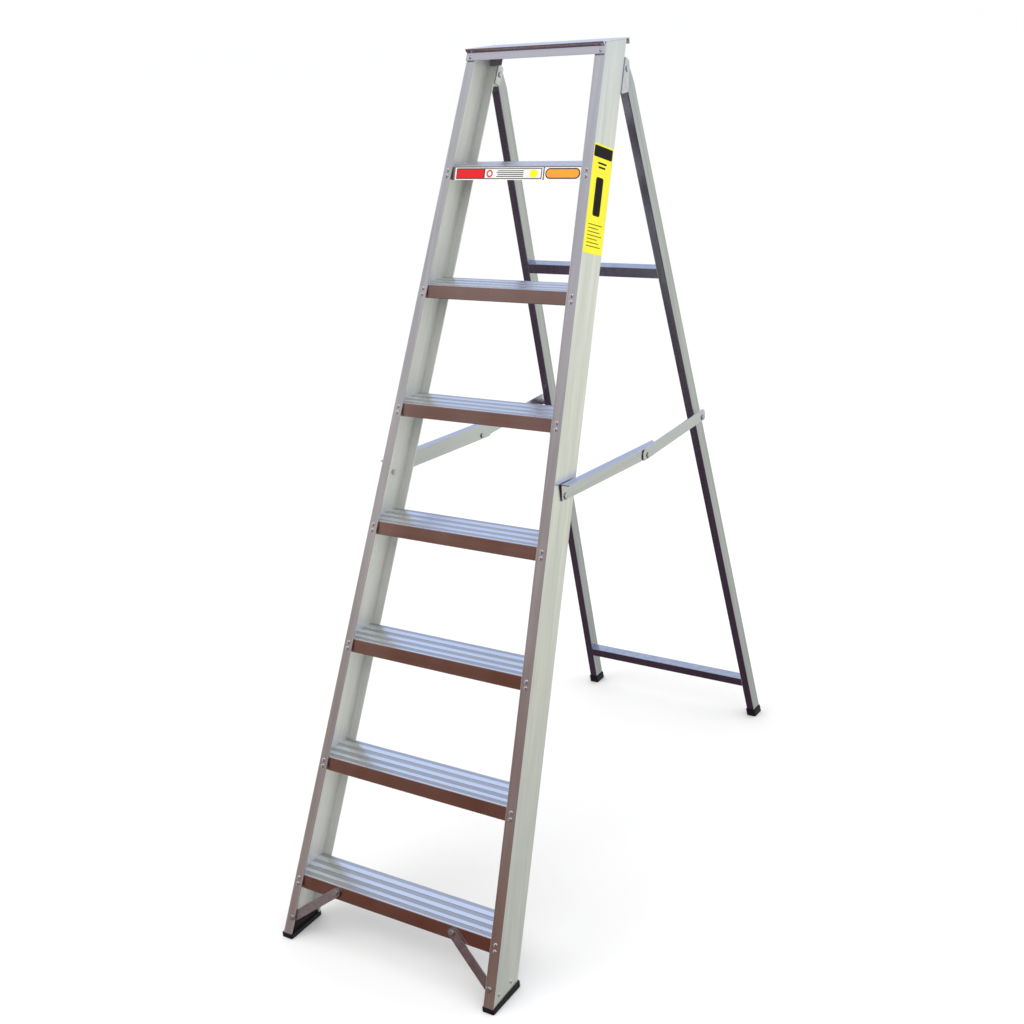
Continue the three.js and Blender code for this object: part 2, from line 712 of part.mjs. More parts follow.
// Front pivot: through the stile web, with a collar between the web and the arm.
const frontPivotWeb = stileHalfWidth(stayFrontV);
const frontPivot = geometryOf(
  rivetHead(plateOuter + GAP)
    .add(solidOf(rodX(STAY_RIVET_RADIUS, frontPivotWeb - 4, plateOuter + 1)))
    .add(solidOf(rodX(7, frontPivotWeb + 0.7, STAY_PLATE_X - GAP)))
    .add(solidOf(rodX(6, frontPivotWeb - 5.6, frontPivotWeb - WEB_THICKNESS - 0.8))),
);
addPair(ladder, 'stay_front_rivet', frontPivot, 'steel', [0, STAY_FRONT.y, STAY_FRONT.z]);

addPair(frontArmGroup, 'stay_front_arm', makeFrontArm(), 'aluminium', [0, 0, 0]);

const middleRivet = geometryOf(
  rivetHead(barOuter + GAP)
    .add(solidOf(rodX(STAY_RIVET_RADIUS, STAY_PLATE_X - 3, barOuter + 1)))
    .add(solidOf(rodX(6.5, STAY_PLATE_X - 3, STAY_PLATE_X - GAP))),
);
addPair(frontArmGroup, 'stay_middle_rivet', middleRivet, 'steel', [0, frontArmLength, 0]);

addPair(rearArmGroup, 'stay_rear_arm', makeRearArm(), 'aluminium', [0, 0, 0]);

const rearRivet = geometryOf(
  rivetHead(barOuter + GAP, 7)
    .add(solidOf(rodX(STAY_RIVET_RADIUS, STAY_BAR_X - 2, barOuter + 1)))
    .add(solidOf(rodX(7, 223.9, STAY_BAR_X - GAP))),
);
addPair(rearArmGroup, 'stay_rear_rivet', rearRivet, 'steel', [0, rearArmLength, 0]);

// ---- Origin on the floor under the middle of the open ladder ----

const extent = new THREE.Box3().setFromObject(ladder, true);
const middle = extent.getCenter(new THREE.Vector3());
ladder.position.set(-middle.x, -middle.y, -extent.min.z);

export default ladder;
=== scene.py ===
"""Looks for the swing-back stepladder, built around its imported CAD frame. Metres, +Z up."""

import json
import math

import bmesh
import bpy
from mathutils import Matrix, Vector


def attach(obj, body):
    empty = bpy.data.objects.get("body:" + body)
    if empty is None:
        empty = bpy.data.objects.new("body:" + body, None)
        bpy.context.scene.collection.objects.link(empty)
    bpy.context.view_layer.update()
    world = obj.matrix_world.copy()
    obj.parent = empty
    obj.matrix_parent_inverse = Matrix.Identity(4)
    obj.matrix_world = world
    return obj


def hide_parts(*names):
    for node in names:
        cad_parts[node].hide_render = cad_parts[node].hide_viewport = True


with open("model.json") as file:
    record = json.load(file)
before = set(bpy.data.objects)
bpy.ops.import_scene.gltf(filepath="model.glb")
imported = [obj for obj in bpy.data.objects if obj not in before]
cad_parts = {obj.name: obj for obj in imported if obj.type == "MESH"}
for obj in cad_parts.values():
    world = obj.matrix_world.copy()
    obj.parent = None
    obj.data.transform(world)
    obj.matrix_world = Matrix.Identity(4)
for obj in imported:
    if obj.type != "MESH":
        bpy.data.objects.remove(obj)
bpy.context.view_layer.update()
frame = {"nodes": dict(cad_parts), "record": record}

MM = 0.001

# Driving dimensions, the same as the CAD model's. A name that ends in _W is a depth through the
# stile, behind the plane of its front flange.
LEAN = math.radians(25.58)
TAPER = 0.05297
FOOT_Z = 11.1 * MM
STILE_HALF_WIDTH = 291.4 * MM
STILE_DEPTH = 90 * MM
STILE_FLANGE = 25 * MM
WEB = 2 * MM
FLANGE = 2.2 * MM
TREAD_COUNT = 7
TREAD_SPACING = 250 * MM
FIRST_TREAD_Z = 136.6 * MM
TREAD_DEPTH = 91.6 * MM
TREAD_FRONT_W = 2.5 * MM
APRON_HEIGHT = 28.7 * MM
TREAD_WALL = 2 * MM
APRON_LEAN = math.radians(20.5)
RIB_HEIGHT = 0.8 * MM
RIB_SIDE = 0.5 * MM
RIBS = ((16.5, 26.5), (39.5, 51.5), (64.5, 77.5))
END_GAP = 0.6 * MM
CAP_APRON_FRONT_W = -3.4 * MM
HINGE_FROM_TOE = 981 * MM
REAR_LEAN = math.radians(13.32)
LEG_SPLAY = math.atan(0.04809)
LEG_HALF_WIDTH = 180.5 * MM
LEG_WIDTH = 21.5 * MM
LEG_WALL = 2 * MM
LEG_PIVOT_DEPTH = 10.3 * MM

# Corners and folds of the tread section.
TREAD_CORNER = 1.6 * MM
APRON_CORNER = 1.2 * MM
NOSE_WIDTH = 5 * MM
APRON_LIP = 8 * MM
SKIRT_HEIGHT = 14 * MM

# Where the rivets sit. FOOT_RIVETS are distances behind the toe and heights above the floor.
TREAD_RIVET_DROPS = (9 * MM, 23 * MM)
CAP_RIVET_X = 172 * MM
CAP_RIVET_Z = 1868 * MM
CAP_EDGE_RIVET_X = 164 * MM
CAP_EDGE_FROM_TOE = 886.8 * MM
CAP_EDGE_Z = 1880.5 * MM
CAP_EDGE_UP = (0, -0.67, 0.742)
FOOT_RIVETS = ((28 * MM, 30 * MM), (76 * MM, 29 * MM))

# How meshes are cleaned and finished.
SHARP_ANGLE = math.radians(32)
BEVEL_ANGLE = math.radians(40)
SAME_POINT = 2e-6
SAME_PLANE = math.radians(0.6)
WALL_SHARE = 0.9

SIDES = ("right", "left")

hinge = Vector(frame["record"]["behaviour"]["joints"][0]["pos_m"])
TOE_Y = hinge.y - HINGE_FROM_TOE

# In FRONT, Y is the depth through the stile and Z runs up the stile. In REAR, Y is the depth
# through the leg and Z runs up the leg from the hinge.
FRONT = Matrix.Translation((0, TOE_Y, FOOT_Z)) @ Matrix.Rotation(-LEAN, 4, "X")
REAR = Matrix.Translation((0, hinge.y, hinge.z)) @ Matrix.Rotation(REAR_LEAN, 4, "X")


def stile_half_width(v):
    return STILE_HALF_WIDTH - TAPER * v


def up_stile(z, w):
    """Distance up the stile of a point at height z and depth w."""
    return (z - FOOT_Z + w * math.sin(LEAN)) / math.cos(LEAN)


# ---- Mesh helpers ----


def finish_object(name, bm, materials, body, replaced=(), bevel=0.0):
    """Makes a shown piece of a bmesh, which is in the same frame as the CAD model."""
    bmesh.ops.recalc_face_normals(bm, faces=bm.faces)
    mesh = bpy.data.meshes.new(name)
    bm.to_mesh(mesh)
    bm.free()
    mesh.shade_smooth()
    mesh.set_sharp_from_angle(angle=SHARP_ANGLE)
    piece = bpy.data.objects.new(name, mesh)
    bpy.context.scene.collection.objects.link(piece)
    for material in materials:
        mesh.materials.append(material)
    if bevel:
        rounding = piece.modifiers.new("rounded_edges", "BEVEL")
        rounding.width = bevel
        rounding.segments = 2
        rounding.limit_method = "ANGLE"
        rounding.angle_limit = BEVEL_ANGLE
    flat = piece.modifiers.new("flat_faces", "WEIGHTED_NORMAL")
    flat.mode = "FACE_AREA"
    flat.weight = 100
    flat.keep_sharp = True
    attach(piece, body)
    if replaced:
        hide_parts(*replaced)
    return piece


def refine(node, material, body, bevel=0.45 * MM):
    """A CAD piece again, with its flat faces whole and its edges rounded."""
    bm = bmesh.new()
    bm.from_mesh(frame["nodes"][node].data)
    bmesh.ops.remove_doubles(bm, verts=bm.verts, dist=SAME_POINT)
    bmesh.ops.dissolve_limit(bm, angle_limit=SAME_PLANE, verts=bm.verts, edges=bm.edges)
    return finish_object(f"{node}_look", bm, (material,), body, (node,), bevel)


def extrude(bm, outline, matrix, low, high):
    """Outline in the local X and Y of matrix, made solid from low to high along its Z."""
    rings = []
    for level in (low, high):
        rings.append([bm.verts.new(matrix @ Vector((x, y, level))) for x, y in outline])
    bm.faces.new(list(reversed(rings[0])))
    bm.faces.new(rings[1])
    count = len(outline)
    for i in range(count):
        j = (i + 1) % count
        bm.faces.new((rings[0][i], rings[0][j], rings[1][j], rings[1][i]))


def revolve(bm, profile, matrix, sides=20):
    """Profile of (radius, height) from the base up to a tip on the axis, turned about local Z."""
    rings = []
    for radius, height in profile[:-1]:
        ring = []
        for i in range(sides):
            turn = 2 * math.pi * i / sides
            local = Vector((radius * math.cos(turn), radius * math.sin(turn), height))
            ring.append(bm.verts.new(matrix @ local))
        rings.append(ring)
    tip = bm.verts.new(matrix @ Vector((0, 0, profile[-1][1])))
    bm.faces.new(list(reversed(rings[0])))
    for lower, upper in zip(rings, rings[1:]):
        for i in range(sides):
            j = (i + 1) % sides
            bm.faces.new((lower[i], lower[j], upper[j], upper[i]))
    for i in range(sides):
        bm.faces.new((rings[-1][i], rings[-1][(i + 1) % sides], tip))


def rounded(corners, steps=5):
    """Closed outline with each (x, y, radius) corner turned into an arc."""
    points = []
    for i, (x, y, radius) in enumerate(corners):
        corner = Vector((x, y))
        if radius == 0:
            points.append(corner)
            continue
        before = (Vector(corners[i - 1][:2]) - corner).normalized()
        after = (Vector(corners[(i + 1) % len(corners)][:2]) - corner).normalized()
        half = before.angle(after) / 2
        centre = corner + (before + after).normalized() * (radius / math.sin(half))
        start = corner + before * (radius / math.tan(half)) - centre
        end = corner + after * (radius / math.tan(half)) - centre
        sweep = math.atan2(start.x * end.y - start.y * end.x, start.dot(end))
        for step in range(steps + 1):
            points.append(centre + Matrix.Rotation(sweep * step / steps, 2) @ start)
    return points


def rounded_rectangle(low_x, high_x, low_y, high_y, radius):
    """An outline in metres from sizes in millimetres."""
    corners = ((low_x, low_y), (high_x, low_y), (high_x, high_y), (low_x, high_y))
    return rounded([(x * MM, y * MM, radius * MM) for x, y in corners])


def facing(parent, x, w, v, x_axis, y_axis):
    """A frame at a point of parent, with the axes given there and Z standing off the surface."""
    x_axis = Vector(x_axis)
    y_axis = Vector(y_axis)
    z_axis = x_axis.cross(y_axis)
    turn = Matrix((x_axis, y_axis, z_axis)).transposed().to_4x4()
    return parent @ Matrix.Translation((x, w, v)) @ turn


# ---- Materials ----


class Nodes:
    """Short names for building one material's node tree."""

    def __init__(self, name):
        self.material = bpy.data.materials.new(name)
        self.material.use_nodes = True
        self.tree = self.material.node_tree
        self.shader = self.tree.nodes["Principled BSDF"]

    def add(self, kind, **settings):
        node = self.tree.nodes.new(kind)
        for key, value in settings.items():
            setattr(node, key, value)
        return node

    def link(self, source, target):
        self.tree.links.new(source, target)

    def place(self, turn=0, scale=(1, 1, 1)):
        """Object coordinates, turned about X and then stretched."""
        coordinates = self.add("ShaderNodeTexCoord")
        turned = self.add("ShaderNodeMapping")
        turned.inputs["Rotation"].default_value = (turn, 0, 0)
        stretched = self.add("ShaderNodeMapping")
        stretched.inputs["Scale"].default_value = scale
        self.link(coordinates.outputs["Object"], turned.inputs["Vector"])
        self.link(turned.outputs["Vector"], stretched.inputs["Vector"])
        return stretched.outputs["Vector"]

    def noise(self, vector, scale, detail=4.0, roughness=0.55):
        noise = self.add("ShaderNodeTexNoise")
        noise.inputs["Scale"].default_value = scale
        noise.inputs["Detail"].default_value = detail
        noise.inputs["Roughness"].default_value = roughness
        self.link(vector, noise.inputs["Vector"])
        return noise.outputs["Fac"]

    def span(self, source, low, high, from_low=0.3, from_high=0.7):
        """Maps the middle of a noise's range, where most of its values lie, onto low to high."""
        span = self.add("ShaderNodeMapRange")
        span.inputs["From Min"].default_value = from_low
        span.inputs["From Max"].default_value = from_high
        span.inputs["To Min"].default_value = low
        span.inputs["To Max"].default_value = high
        self.link(source, span.inputs["Value"])
        return span.outputs["Result"]

    def blend(self, factor, first, second):
        """From the first colour to the second as factor goes from 0 to 1."""
        mix = self.add("ShaderNodeMix", data_type="RGBA")
        colours = [socket for socket in mix.inputs if socket.type == "RGBA"]
        colours[0].default_value = (*first, 1)
        colours[1].default_value = (*second, 1)
        self.link(factor, next(socket for socket in mix.inputs if socket.type == "VALUE"))
        return next(socket for socket in mix.outputs if socket.type == "RGBA")

    def sum(self, first, second):
        node = self.add("ShaderNodeMath", operation="ADD")
        self.link(first, node.inputs[0])
        self.link(second, node.inputs[1])
        return node.outputs["Value"]

    def bump(self, height, strength, distance):
        bump = self.add("ShaderNodeBump")
        bump.inputs["Strength"].default_value = strength
        bump.inputs["Distance"].default_value = distance
        self.link(height, bump.inputs["Height"])
        self.link(bump.outputs["Normal"], self.shader.inputs["Normal"])


def aluminium(name, turn, scale, bright, dull, smooth=0.2, coarse=0.3, metal=1.0):
    """Mill-finish extrusion: drawing lines and broad streaks along it, and a cloudy oxide."""
    nodes = Nodes(name)
    lines = nodes.noise(nodes.place(turn, scale), 1.0, 5.0, 0.6)
    streaks = nodes.noise(nodes.place(turn, tuple(0.2 * part for part in scale)), 1.0, 3.0)
    clouds = nodes.noise(nodes.place(turn, (1, 1, 0.5)), 7.0, 3.0)
    worn = nodes.sum(nodes.span(lines, 0, 0.2), nodes.span(streaks, 0, 0.6))
    worn = nodes.sum(worn, nodes.span(clouds, 0, 0.2))
    nodes.link(nodes.blend(worn, dull, bright), nodes.shader.inputs["Base Color"])
    nodes.link(nodes.span(clouds, smooth, coarse), nodes.shader.inputs["Roughness"])
    nodes.shader.inputs["Metallic"].default_value = metal
    nodes.bump(lines, 0.03, 0.02 * MM)
    return nodes.material


def zinc(name, bright, dull):
    """Zinc-plated steel: a dull crystalline mottle and small scratches."""
    nodes = Nodes(name)
    grains = nodes.noise(nodes.place(), 420.0, 4.0)
    stains = nodes.noise(nodes.place(), 60.0, 3.0)
    colour = nodes.blend(nodes.span(stains, 0, 1), dull, bright)
    nodes.link(colour, nodes.shader.inputs["Base Color"])
    nodes.link(nodes.span(grains, 0.26, 0.46), nodes.shader.inputs["Roughness"])
    nodes.shader.inputs["Metallic"].default_value = 1.0
    nodes.bump(grains, 0.2, 0.1 * MM)
    return nodes.material


def moulded(name, fresh, dusty, smooth, coarse, grain):
    """Moulded black rubber or nylon with a fine grain and a little dust."""
    nodes = Nodes(name)
    skin = nodes.noise(nodes.place(), grain, 3.0)
    dust = nodes.noise(nodes.place(), 38.0, 5.0)
    colour = nodes.blend(nodes.span(dust, 0, 1, 0.45, 0.8), fresh, dusty)
    nodes.link(colour, nodes.shader.inputs["Base Color"])
    nodes.link(nodes.span(dust, smooth, coarse), nodes.shader.inputs["Roughness"])
    nodes.bump(skin, 0.35, 0.2 * MM)
    return nodes.material


def vinyl(name, ink, faded, shine=0.4):
    """Printed vinyl film: even ink, slight fading and a soft ripple from the surface below."""
    nodes = Nodes(name)
    fading = nodes.noise(nodes.place(), 24.0, 3.0)
    ripple = nodes.noise(nodes.place(), 150.0, 2.0)
    colour = nodes.blend(nodes.span(fading, 0, 1, 0.4, 0.8), ink, faded)
    nodes.link(colour, nodes.shader.inputs["Base Color"])
    nodes.link(nodes.span(fading, 0.3, 0.42), nodes.shader.inputs["Roughness"])
    nodes.shader.inputs["Specular IOR Level"].default_value = shine
    nodes.bump(ripple, 0.08, 0.1 * MM)
    return nodes.material


# Texture scales that draw fine lines along one axis.
LINES_ALONG_X = (2.2, 340, 340)
LINES_ALONG_Y = (340, 2.2, 340)
LINES_ALONG_Z = (340, 340, 2.2)
STAY_SLOPE = 0.03

MAT = {
    "stile": aluminium(
        "stile_extrusion", LEAN, LINES_ALONG_Z,
        (0.97, 0.97, 0.96), (0.72, 0.74, 0.74), 0.27, 0.37,
    ),
    # A copy of the aluminium, tinted cream-green and much less metallic: a painted pale reflection
    # for the inner faces of channels.
    "channel": aluminium(
        "stile_channel_painted_reflection", LEAN, LINES_ALONG_Z,
        (0.80, 0.82, 0.78), (0.66, 0.68, 0.65), 0.3, 0.4, 0.35,
    ),
    "leg": aluminium(
        "leg_extrusion", -REAR_LEAN, LINES_ALONG_Z,
        (0.60, 0.62, 0.67), (0.42, 0.44, 0.48),
    ),
    "tread": aluminium(
        "tread_extrusion", 0, LINES_ALONG_X,
        (0.94, 0.95, 0.96), (0.87, 0.88, 0.90),
    ),
    # The apron's brown tint is a painted reflection of warm, dark ground in front.
    "apron": aluminium(
        "tread_apron_painted_reflection", 0, LINES_ALONG_X,
        (0.66, 0.50, 0.44), (0.54, 0.41, 0.37),
    ),
    "valley": aluminium(
        "tread_valley", 0, LINES_ALONG_X,
        (0.66, 0.66, 0.64), (0.52, 0.52, 0.51), 0.3, 0.42,
    ),
    "stay": aluminium(
        "stay_extrusion", STAY_SLOPE, LINES_ALONG_Y,
        (0.72, 0.74, 0.80), (0.60, 0.62, 0.67),
    ),
    "bracket": zinc("bracket_plate", (0.80, 0.80, 0.81), (0.66, 0.66, 0.67)),
    "brace": zinc("brace_plate", (0.60, 0.57, 0.62), (0.44, 0.42, 0.46)),
    # The cap clip's near-black purple is painted shade under the cap plate.
    "dark": zinc("clip_plate_painted_shade", (0.34, 0.31, 0.36), (0.22, 0.20, 0.24)),
    "steel": zinc("zinc_plate", (0.72, 0.72, 0.72), (0.52, 0.52, 0.53)),
    "rivet": zinc("rivet_alloy", (0.95, 0.95, 0.95), (0.84, 0.84, 0.85)),
    # Near-black, as painted shade in the hollow of each rivet.
    "socket": zinc("rivet_socket_painted_shade", (0.16, 0.15, 0.15), (0.08, 0.08, 0.08)),
    "rubber": moulded(
        "black_rubber", (0.004, 0.004, 0.004), (0.012, 0.012, 0.011), 0.6, 0.8, 900.0,
    ),
    "nylon": moulded(
        "black_nylon", (0.012, 0.012, 0.014), (0.03, 0.03, 0.03), 0.35, 0.55, 1400.0,
    ),
    "white": vinyl("white_film", (0.86, 0.86, 0.85), (0.76, 0.76, 0.74)),
    "black": vinyl("black_film", (0.006, 0.006, 0.006), (0.014, 0.014, 0.014), 0.05),
    "red": vinyl("red_film", (0.72, 0.008, 0.012), (0.62, 0.02, 0.02)),
    "yellow": vinyl("yellow_film", (0.93, 0.86, 0.004), (0.86, 0.78, 0.02)),
    "orange": vinyl("orange_film", (0.87, 0.36, 0.03), (0.80, 0.30, 0.03)),
}


# ---- Pieces taken over from the CAD model with rounded edges ----

# Stem of the node's name, body, material and bevel width in millimetres.
REFINED = (
    ("front_foot", "front_frame", "rubber", 0.8),
    ("knee_brace", "front_frame", "brace", 0.4),
    ("knee_bolt_lower", "front_frame", "steel", 0.4),
    ("knee_bolt_upper", "front_frame", "steel", 0.4),
    ("cap_clip", "front_frame", "dark", 0.4),
    ("hinge_bracket", "front_frame", "bracket", 0.4),
    ("hinge_pin", "front_frame", "bracket", 0.3),
    ("stay_front_rivet", "front_frame", "steel", 0.3),
    ("rear_foot", "rear_frame", "rubber", 0.8),
    ("hinge_spacer", "rear_frame", "nylon", 0.6),
    ("stay_front_arm", "stay_front_{side}", "stay", 0.4),
    ("stay_middle_rivet", "stay_front_{side}", "steel", 0.3),
    ("stay_rear_arm", "stay_rear_{side}", "stay", 0.4),
    ("stay_rear_rivet", "stay_rear_{side}", "steel", 0.3),
)


def paint_inner_reflection(piece, into, inside):
    """Gives the inner faces of a channel a cream-green, much less metallic copy of its outside's
    aluminium, as a painted pale reflection.
    """
    piece.data.materials.append(MAT["channel"])
    for face in piece.data.polygons:
        middle = into @ face.center
        face.material_index = 1 if inside(abs(middle.x), middle.y, middle.z) else 0


def inside_stile(x, w, v):
    between_flanges = WALL_SHARE * FLANGE < w < STILE_DEPTH - WALL_SHARE * FLANGE
    return between_flanges and stile_half_width(v) - x > WALL_SHARE * WEB


def inside_leg(x, depth, v):
    skin = WALL_SHARE * LEG_WALL
    from_outside = LEG_HALF_WIDTH - math.tan(LEG_SPLAY) * v - x
    return depth + LEG_PIVOT_DEPTH > skin and skin < from_outside < LEG_WIDTH - skin


for side in SIDES:
    stile = refine(f"stile_{side}", MAT["stile"], "front_frame", 0.5 * MM)
    paint_inner_reflection(stile, FRONT.inverted(), inside_stile)
    leg = refine(f"rear_leg_{side}", MAT["leg"], "rear_frame", 0.4 * MM)
    paint_inner_reflection(leg, REAR.inverted(), inside_leg)
for stem, body, material_key, width in REFINED:
    for side in SIDES:
        refine(f"{stem}_{side}", MAT[material_key], body.format(side=side), width * MM)
for label in ("upper", "lower"):
    refine(f"rear_brace_{label}", MAT["leg"], "rear_frame")
refine("top_cap", MAT["tread"], "front_frame", 0.5 * MM)


# ---- Treads: the CAD outline, with a darker, duller floor between the ribs and an apron tinted brown as painted reflection ----

TREAD_LOOKS = ("tread", "valley", "apron")
APRON_REACH = 4 * MM
LEVEL = 0.01 * MM


def tread_outline():
    """The section: Y runs back from the nose along the top, Z up from the top of the ribs."""
    slope = math.tan(LEAN)
    inset = TREAD_WALL / math.cos(LEAN)
    apron_slope = math.tan(APRON_LEAN)
    apron_inset = TREAD_WALL / math.cos(APRON_LEAN)
    valley = -RIB_HEIGHT
    under = valley - TREAD_WALL
    bottom = -APRON_HEIGHT
    lip_back = bottom * apron_slope + apron_inset + APRON_LIP
    skirt = -SKIRT_HEIGHT
    skirt_y = TREAD_DEPTH + (skirt - valley) * slope
    corners = [(0, 0, TREAD_CORNER), (NOSE_WIDTH, 0, 0), (NOSE_WIDTH + RIB_SIDE, valley, 0)]
    for start, end in RIBS:
        corners += [
            (start * MM - RIB_SIDE, valley, 0),
            (start * MM, 0, 0),
            (end * MM, 0, 0),
            (end * MM + RIB_SIDE, valley, 0),
        ]
    corners += [
        (TREAD_DEPTH, valley, TREAD_CORNER),
        (skirt_y, skirt, 0),
        (skirt_y - inset, skirt, 0),
        (TREAD_DEPTH + (under - valley) * slope - inset, under, 0),
        (under * apron_slope + apron_inset, under, 0),
        ((bottom + TREAD_WALL) * apron_slope + apron_inset, bottom + TREAD_WALL, 0),
        (lip_back, bottom + TREAD_WALL, 0),
        (lip_back, bottom, 0),
        (bottom * apron_slope, bottom, APRON_CORNER),
    ]
    return rounded(corners, steps=4)


def make_tread(number):
    """Shows one tread, and gives how far up the stile its nose is."""
    v = up_stile(FIRST_TREAD_Z + TREAD_SPACING * (number - 1), TREAD_FRONT_W)
    place = FRONT @ Matrix.Translation((0, TREAD_FRONT_W, v)) @ Matrix.Rotation(LEAN, 4, "X")
    section = tread_outline()
    bm = bmesh.new()
    rings = []
    for side in (-1, 1):
        ring = []
        for y, z in section:
            reach = stile_half_width(v + y * math.sin(LEAN) + z * math.cos(LEAN)) - WEB - END_GAP
            ring.append(bm.verts.new(place @ Vector((side * reach, y, z))))
        rings.append(ring)
    bm.faces.new(list(reversed(rings[0])))
    bm.faces.new(rings[1])
    for i, here in enumerate(section):
        j = (i + 1) % len(section)
        there = section[j]
        face = bm.faces.new((rings[0][i], rings[0][j], rings[1][j], rings[1][i]))
        in_valley = max(abs(here.y + RIB_HEIGHT), abs(there.y + RIB_HEIGHT)) < LEVEL
        on_apron = max(here.x, there.x) < APRON_REACH
        look = "valley" if in_valley else "apron" if on_apron else "tread"
        face.material_index = TREAD_LOOKS.index(look)
    node = f"tread_{number}"
    materials = [MAT[look] for look in TREAD_LOOKS]
    finish_object(f"{node}_look", bm, materials, "front_frame", (node,))
    return v


tread_v = [make_tread(number) for number in range(1, TREAD_COUNT + 1)]


# ---- Rivets ----

# Profiles of (radius, height) in millimetres.
RIVET_HEAD = ((4.5, 0), (4.5, 0.35), (4.0, 0.95), (2.9, 1.35), (1.9, 1.4), (0, 1.3))
RIVET_SOCKET = ((1.5, 1.3), (1.4, 1.46), (0, 1.48))


def rivets(name, places, size=1.0):
    """One piece with a rivet head at each place, and a near-black cap over its middle as painted
    shade in the rivet's hollow.
    """
    bm = bmesh.new()
    for index, section in enumerate((RIVET_HEAD, RIVET_SOCKET)):
        profile = [(radius * size * MM, height * size * MM) for radius, height in section]
        before = len(bm.faces)
        for place in places:
            revolve(bm, profile, place)
        bm.faces.ensure_lookup_table()
        for face in bm.faces[before:]:
            face.material_index = index
    finish_object(name, bm, (MAT["rivet"], MAT["socket"]), "front_frame")


def on_front_flange(side, v):
    """The middle of the front flange, facing forward."""
    x = side * (stile_half_width(v) - STILE_FLANGE / 2)
    return facing(FRONT, x, 0, v, (1, 0, 0), (0, 0, 1))


tread_places = []
for v in tread_v:
    for side in (1, -1):
        for drop in TREAD_RIVET_DROPS:
            tread_places.append(on_front_flange(side, v - drop))
rivets("tread_rivets", tread_places)

cap_v = up_stile(CAP_RIVET_Z, CAP_APRON_FRONT_W)
cap_places = []
for side in (1, -1):
    x = side * CAP_RIVET_X
    cap_places.append(facing(FRONT, x, CAP_APRON_FRONT_W, cap_v, (1, 0, 0), (0, 0, 1)))
rivets("cap_rivets", cap_places)

cap_edge = Matrix.Translation((0, TOE_Y + CAP_EDGE_FROM_TOE, CAP_EDGE_Z))
edge_places = []
for side in (1, -1):
    edge_places.append(facing(cap_edge, side * CAP_EDGE_RIVET_X, 0, 0, (1, 0, 0), CAP_EDGE_UP))
rivets("cap_edge_rivets", edge_places, size=0.5)

foot_places = []
for side in (1, -1):
    for y, z in FOOT_RIVETS:
        v = (z - FOOT_Z) * math.cos(LEAN) + y * math.sin(LEAN)
        w = y * math.cos(LEAN) - (z - FOOT_Z) * math.sin(LEAN)
        x_axis = (0, side, 0)
        foot_places.append(facing(FRONT, side * stile_half_width(v), w, v, x_axis, (0, 0, 1)))
rivets("foot_rivets", foot_places)


# ---- Plain stickers: coloured film with no words or signs ----

FILM = 0.12 * MM
FILM_GAP = 0.02 * MM


def sticker(name, outline, place, layer, colour):
    """One patch of film. Layer 0 lies on the metal, and each higher one on the one below it."""
    bm = bmesh.new()
    start = layer * FILM
    extrude(bm, outline, place, start + FILM_GAP, start + FILM)
    finish_object(name, bm, (MAT[colour],), "front_frame")


apron_edge = Matrix.Translation(FRONT @ Vector((0, TREAD_FRONT_W, tread_v[-1])))
up_apron = (0, math.sin(APRON_LEAN), math.cos(APRON_LEAN))
top_apron = facing(apron_edge, 0, 0, 0, (1, 0, 0), up_apron)

STRIP_LINES = 4
STRIP_LINE_STEP = 4.2
STRIP_LINE_HEIGHT = 1.8
STRIP_LINE_INDENT = 3


def apron_patch(name, low_x, high_x, low_y, high_y, radius, layer, colour):
    """A patch on the top tread's apron, in millimetres from the middle of its top edge."""
    shape = rounded_rectangle(low_x, high_x, low_y, high_y, radius)
    sticker(name, shape, top_apron, layer, colour)


apron_patch("strip_base", -164, 73, -30.5, -2.5, 1.5, 0, "white")
apron_patch("strip_border", -160, 70, -28.2, -4.2, 1.0, 1, "black")
apron_patch("strip_red", -158, -84, -26.4, -6, 0.6, 2, "red")
apron_patch("strip_white", -81.5, 68, -26.4, -6, 0.6, 2, "white")
apron_patch("strip_dot", -77, -60, -24.8, -7.8, 8.4, 3, "red")
apron_patch("strip_dot_middle", -73.5, -63.5, -21.3, -11.3, 4.9, 4, "white")
for row in range(STRIP_LINES):
    low_x = -50 + STRIP_LINE_INDENT * (row % 2)
    low_y = -23.6 + STRIP_LINE_STEP * row
    high_y = low_y + STRIP_LINE_HEIGHT
    apron_patch(f"strip_line_{row}", low_x, 22, low_y, high_y, 0.5, 3, "black")
apron_patch("strip_yellow", 38, 60, -24.8, -7.6, 8.5, 3, "yellow")
apron_patch("badge_base", 76.5, 170.5, -30.5, -2.5, 1.5, 0, "white")
apron_patch("badge_border", 79, 168, -28, -4.5, 11.6, 1, "black")
apron_patch("badge_orange", 81.5, 165.5, -25.6, -6.9, 9.2, 2, "orange")

right_stile = FRONT @ Matrix.Translation((STILE_HALF_WIDTH, 0, 0))
right_stile = right_stile @ Matrix.Rotation(-math.atan(TAPER), 4, "Y")
web_face = facing(right_stile, 0, 0, 0, (0, 1, 0), (0, 0, 1))

LABEL_SKEW = 0.14
LABEL_BARS = ((26, 64), (30, 60))
LABEL_BAR_STEP = 9
LABEL_BAR_HEIGHT = 4
LABEL_LINES = 7
LABEL_LINE_STEP = 8
LABEL_LINE_HEIGHT = 1.6
LABEL_LINE_RAG = 9


def label_patch(name, low_x, high_x, low_y, high_y, radius, layer, colour):
    """A patch on the right web, in millimetres back from its front edge and up from its foot."""
    shape = rounded_rectangle(low_x, high_x, low_y, high_y, radius)
    skewed = [(x, y + LABEL_SKEW * x) for x, y in shape]
    sticker(name, skewed, web_face, layer, colour)


